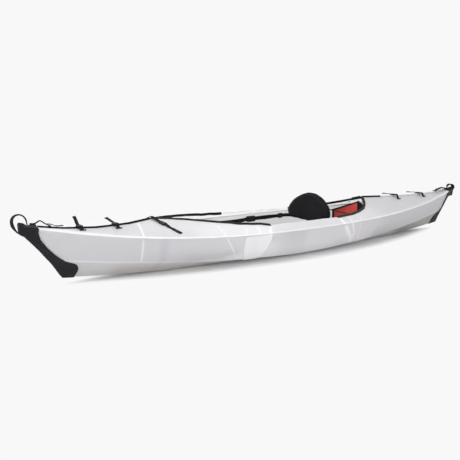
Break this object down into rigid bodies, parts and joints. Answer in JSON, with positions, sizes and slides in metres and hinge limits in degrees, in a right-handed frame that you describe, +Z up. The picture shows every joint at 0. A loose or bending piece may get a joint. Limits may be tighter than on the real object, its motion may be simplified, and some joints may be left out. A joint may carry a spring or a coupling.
{
  "type": "folding kayak",
  "caption": "Single-seat folding kayak of creased white sheet with a leaf-shaped cockpit, black seam trims, fabric tip caps, buckled straps and a padded backrest.",
  "frame": {"origin": "middle of the flat keel strip on the underside, amidships", "axes": "+X towards the bow, +Y to port, +Z up"},
  "size_m": [3.742, 0.7368, 0.4228],
  "materials": {
    "white_sheet": "translucent white twin-wall sheet, satin",
    "black_extrusion": "soft satin black",
    "cap_fabric": "coated heavy cloth, matt",
    "black_webbing": "woven tape, matt",
    "black_plastic": "moulded nylon, fine texture",
    "padded_fabric": "matt cloth over foam",
    "red_fabric": "matt coated cloth",
    "black_cord": "braided elastic cord"
  },
  "bodies": {
    "hull": {"hull_sheet": "white_sheet", "deck_port": "white_sheet", "deck_starboard": "white_sheet", "coaming_trim_front_port": "black_extrusion", "coaming_trim_front_starboard": "black_extrusion", "coaming_trim_rear": "black_extrusion", "front_seam_channel": "black_extrusion", "rear_seam_channel": "black_extrusion", "rear_seam_strip": "white_sheet", "bow_cap": "cap_fabric", "stern_cap": "cap_fabric", "front_strap_1_female": "black_plastic", "front_strap_1_port": "black_webbing", "front_strap_1_starboard": "black_webbing", "front_strap_2_female": "black_plastic", "front_strap_2_port": "black_webbing", "front_strap_2_starboard": "black_webbing", "rear_strap_1_female": "black_plastic", "rear_strap_1_port": "black_webbing", "rear_strap_1_starboard": "black_webbing", "rear_strap_2_female": "black_plastic", "rear_strap_2_port": "black_webbing", "rear_strap_2_starboard": "black_webbing", "front_strap_3_female": "black_plastic", "front_strap_3_port": "black_webbing", "front_strap_3_starboard": "black_webbing", "bow_cap_strap": "black_webbing", "bow_cap_buckle": "black_plastic", "stern_cap_strap": "black_webbing", "stern_cap_buckle": "black_plastic", "floorboard": "white_sheet", "seat_pad": "padded_fabric", "backrest_port_female": "black_plastic", "backrest_port_strap_front": "black_webbing", "backrest_port_strap_rear": "black_webbing", "backrest_starboard_female": "black_plastic", "backrest_starboard_strap_front": "black_webbing", "backrest_starboard_strap_rear": "black_webbing", "bulkhead_panel": "red_fabric", "bulkhead_binding": "black_webbing", "backrest_bungee": "black_cord", "foot_strap_port": "black_webbing", "foot_strap_starboard": "black_webbing", "deck_button_port": "black_plastic", "deck_button_starboard": "black_plastic", "coaming_clip": "black_plastic"},
    "front_strap_1_clip": {"front_strap_1_clip": "black_plastic"},
    "front_strap_2_clip": {"front_strap_2_clip": "black_plastic"},
    "front_strap_3_clip": {"front_strap_3_clip": "black_plastic"},
    "rear_strap_1_clip": {"rear_strap_1_clip": "black_plastic"},
    "rear_strap_2_clip": {"rear_strap_2_clip": "black_plastic"},
    "backrest_port_clip": {"backrest_port_clip": "black_plastic"},
    "backrest_port_slider": {"backrest_port_slider": "black_plastic"},
    "backrest_starboard_clip": {"backrest_starboard_clip": "black_plastic"},
    "backrest_starboard_slider": {"backrest_starboard_slider": "black_plastic"},
    "bow_handle": {"bow_handle": "black_webbing"},
    "stern_handle": {"stern_handle": "black_webbing"},
    "backrest": {"backrest_pad": "padded_fabric", "backrest_stem": "black_plastic"},
    "foot_brace": {"foot_brace": "black_plastic"}
  },
  "joints": [
    {"name": "bow_handle_swing", "type": "hinge", "parent": "hull", "child": "bow_handle", "pos_m": [1.793, 0, 0.36423], "axis": [0.7802, 0, -0.6255], "range_deg": [-60, 60]},
    {"name": "stern_handle_swing", "type": "hinge", "parent": "hull", "child": "stern_handle", "pos_m": [-1.772, 0, 0.32464], "axis": [-0.9398, 0, -0.3418], "range_deg": [-60, 60]},
    {"name": "backrest_tilt", "type": "hinge", "parent": "hull", "child": "backrest", "pos_m": [-0.1703, 0, 0.058], "axis": [0, 1, 0], "range_deg": [0, 75], "deforming": ["backrest_port_strap_rear", "backrest_starboard_strap_rear", "backrest_bungee"]},
    {"name": "front_strap_1_release", "type": "slide", "parent": "hull", "child": "front_strap_1_clip", "axis": [0, -1, 0], "range_m": [0, 0.025], "deforming": ["front_strap_1_starboard"]},
    {"name": "front_strap_2_release", "type": "slide", "parent": "hull", "child": "front_strap_2_clip", "axis": [0, -1, 0], "range_m": [0, 0.025], "deforming": ["front_strap_2_starboard"]},
    {"name": "front_strap_3_release", "type": "slide", "parent": "hull", "child": "front_strap_3_clip", "axis": [0.3093, -0.9221, 0.2325], "range_m": [0, 0.025], "deforming": ["front_strap_3_starboard"]},
    {"name": "rear_strap_1_release", "type": "slide", "parent": "hull", "child": "rear_strap_1_clip", "axis": [0, -1, 0], "range_m": [0, 0.025], "deforming": ["rear_strap_1_starboard"]},
    {"name": "rear_strap_2_release", "type": "slide", "parent": "hull", "child": "rear_strap_2_clip", "axis": [0, -1, 0], "range_m": [0, 0.025], "deforming": ["rear_strap_2_starboard"]},
    {"name": "backrest_port_release", "type": "slide", "parent": "hull", "child": "backrest_port_clip", "axis": [-1, 0, 0], "range_m": [0, 0.03], "deforming": ["backrest_port_strap_rear"]},
    {"name": "backrest_port_adjust", "type": "slide", "parent": "hull", "child": "backrest_port_slider", "axis": [-1, 0, 0], "range_m": [-0.025, 0.025]},
    {"name": "backrest_starboard_release", "type": "slide", "parent": "hull", "child": "backrest_starboard_clip", "axis": [-1, 0, 0], "range_m": [0, 0.03], "deforming": ["backrest_starboard_strap_rear"]},
    {"name": "backrest_starboard_adjust", "type": "slide", "parent": "hull", "child": "backrest_starboard_slider", "axis": [-1, 0, 0], "range_m": [-0.025, 0.025]},
    {"name": "foot_brace_slide", "type": "slide", "parent": "hull", "child": "foot_brace", "axis": [1, 0, 0], "range_m": [-0.16, 0], "deforming": ["foot_strap_port", "foot_strap_starboard"]}
  ]
}
